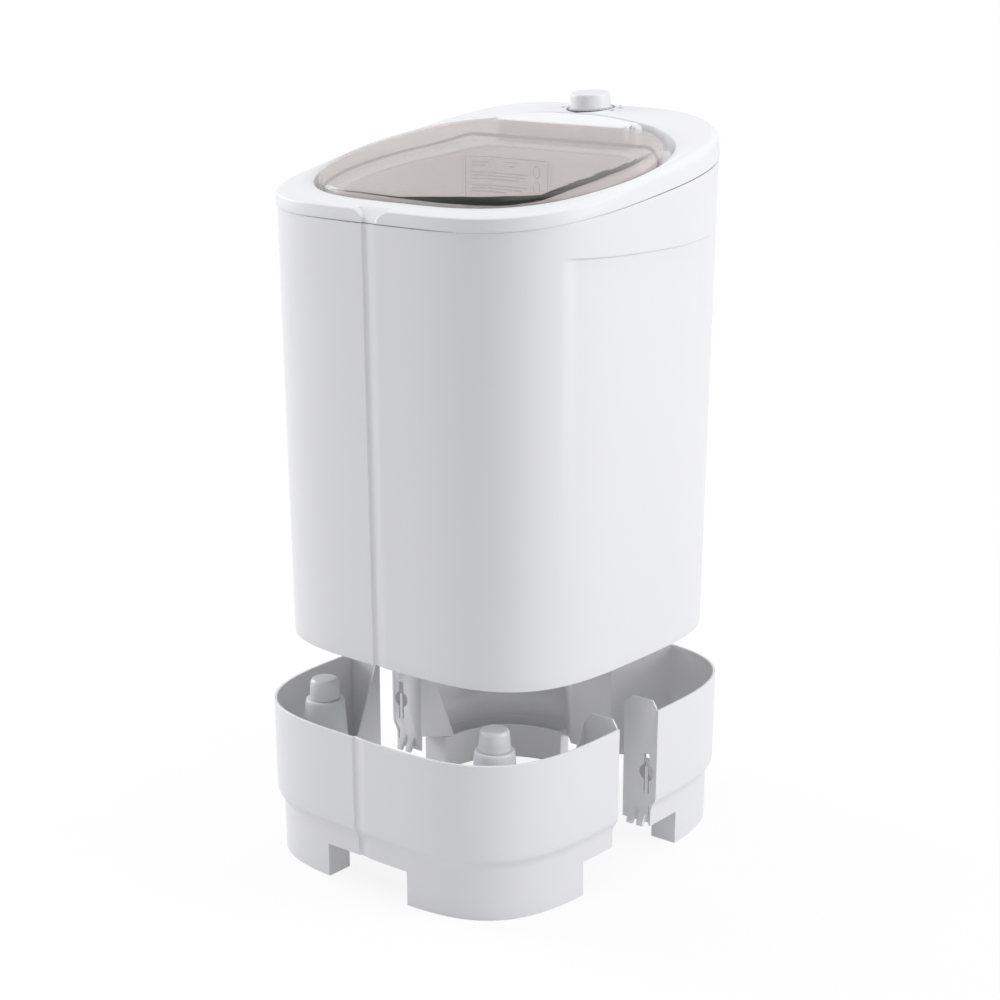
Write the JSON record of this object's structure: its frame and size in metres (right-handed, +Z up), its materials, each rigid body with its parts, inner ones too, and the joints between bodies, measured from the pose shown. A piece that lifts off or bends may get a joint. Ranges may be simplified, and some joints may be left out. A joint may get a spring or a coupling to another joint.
{
  "type": "semi-automatic washing machine",
  "caption": "Small single-tub washing machine with a smoky lid, shown with its cabinet lifted off a two-part stand whose halves are drawn apart.",
  "frame": {"origin": "centre of the footprint on the floor, under the middle of the cabinet", "axes": "+Z up; the front of the machine faces -Y; +X is to the right for someone who looks at the back"},
  "size_m": [0.4572, 0.5187, 0.929],
  "materials": {
    "white_plastic": "satin",
    "smoky_lid": "gloss",
    "hinge_white": "satin",
    "knob_white": "satin",
    "clear_tip": "gloss",
    "tub_white": "gloss",
    "panel_grey": "matte",
    "dial_marks": "matte",
    "grey_plastic": "matte",
    "black_rubber": "matte",
    "zinc_steel": "satin",
    "cast_alloy": "matte",
    "bronze": "satin"
  },
  "bodies": {
    "stand_front": {"base_front_shell": "white_plastic", "front_end_plate_left": "white_plastic", "front_end_plate_right": "white_plastic", "support_post_left": "clear_tip", "support_post_right": "clear_tip", "post_tip_left": "clear_tip", "post_tip_right": "clear_tip", "post_screws": "zinc_steel"},
    "stand_rear": {"base_rear_shell": "white_plastic", "rear_end_plate_left": "white_plastic", "rear_end_plate_right": "white_plastic"},
    "cabinet": {"cabinet_shell": "white_plastic", "top_cover": "white_plastic", "tub_gasket": "black_rubber", "wash_tub": "tub_white", "instruction_panel": "panel_grey", "chassis_plate": "zinc_steel", "chassis_screws": "zinc_steel", "tip_seats": "black_rubber", "bearing_housing": "cast_alloy", "housing_bolts": "zinc_steel", "shaft_bushes": "bronze", "shaft_seal": "black_rubber", "drive_belt": "black_rubber", "motor_bracket": "zinc_steel", "motor_bushes": "black_rubber", "motor_bolts": "zinc_steel", "motor_housing": "cast_alloy", "capacitor": "grey_plastic", "capacitor_clip": "zinc_steel", "drain_tube": "grey_plastic", "drain_outlet": "grey_plastic", "cord_gland": "black_rubber", "wiring_harness": "black_rubber", "dial_ring": "dial_marks", "timer_body": "grey_plastic", "timer_screws": "zinc_steel"},
    "agitator": {"agitator": "tub_white", "agitator_screw": "zinc_steel", "agitator_cap": "grey_plastic", "agitator_shaft": "zinc_steel", "drive_pulley": "cast_alloy", "pulley_nut": "zinc_steel"},
    "motor_rotor": {"motor_shaft": "zinc_steel", "motor_pulley": "cast_alloy"},
    "lid": {"lid_panel": "smoky_lid", "hinge_strip": "hinge_white", "hinge_pins": "zinc_steel"},
    "knob": {"timer_shaft": "zinc_steel", "knob": "knob_white"}
  },
  "joints": [
    {"name": "cabinet_lift", "type": "slide", "parent": "stand_front", "child": "cabinet", "axis": [0, -0.454, -0.891], "range_m": [0, 0.0881]},
    {"name": "stand_halves", "type": "slide", "parent": "stand_front", "child": "stand_rear", "axis": [0, -1, 0], "range_m": [0, 0.08]},
    {"name": "lid_hinge", "type": "hinge", "parent": "cabinet", "child": "lid", "pos_m": [0, 0.134, 0.89114], "axis": [1, 0, 0], "range_deg": [-100, 0]},
    {"name": "timer_turn", "type": "hinge", "parent": "cabinet", "child": "knob", "pos_m": [0, 0.1825, 0.9069], "axis": [0, -0.0785, 0.9969], "range_deg": [-300, 0]},
    {"name": "agitator_spin", "type": "hinge", "parent": "cabinet", "child": "agitator", "pos_m": [0, -0.014, 0.4771], "axis": [0, 0, 1], "continuous": true},
    {"name": "motor_spin", "type": "hinge", "parent": "cabinet", "child": "motor_rotor", "pos_m": [0, 0.115, 0.3371], "axis": [0, 0, 1], "continuous": true}
  ],
  "couplings": [
    {"joint": "stand_halves", "follows": "cabinet_lift", "ratio": 0.90806},
    {"joint": "motor_spin", "follows": "agitator_spin", "ratio": 5}
  ]
}
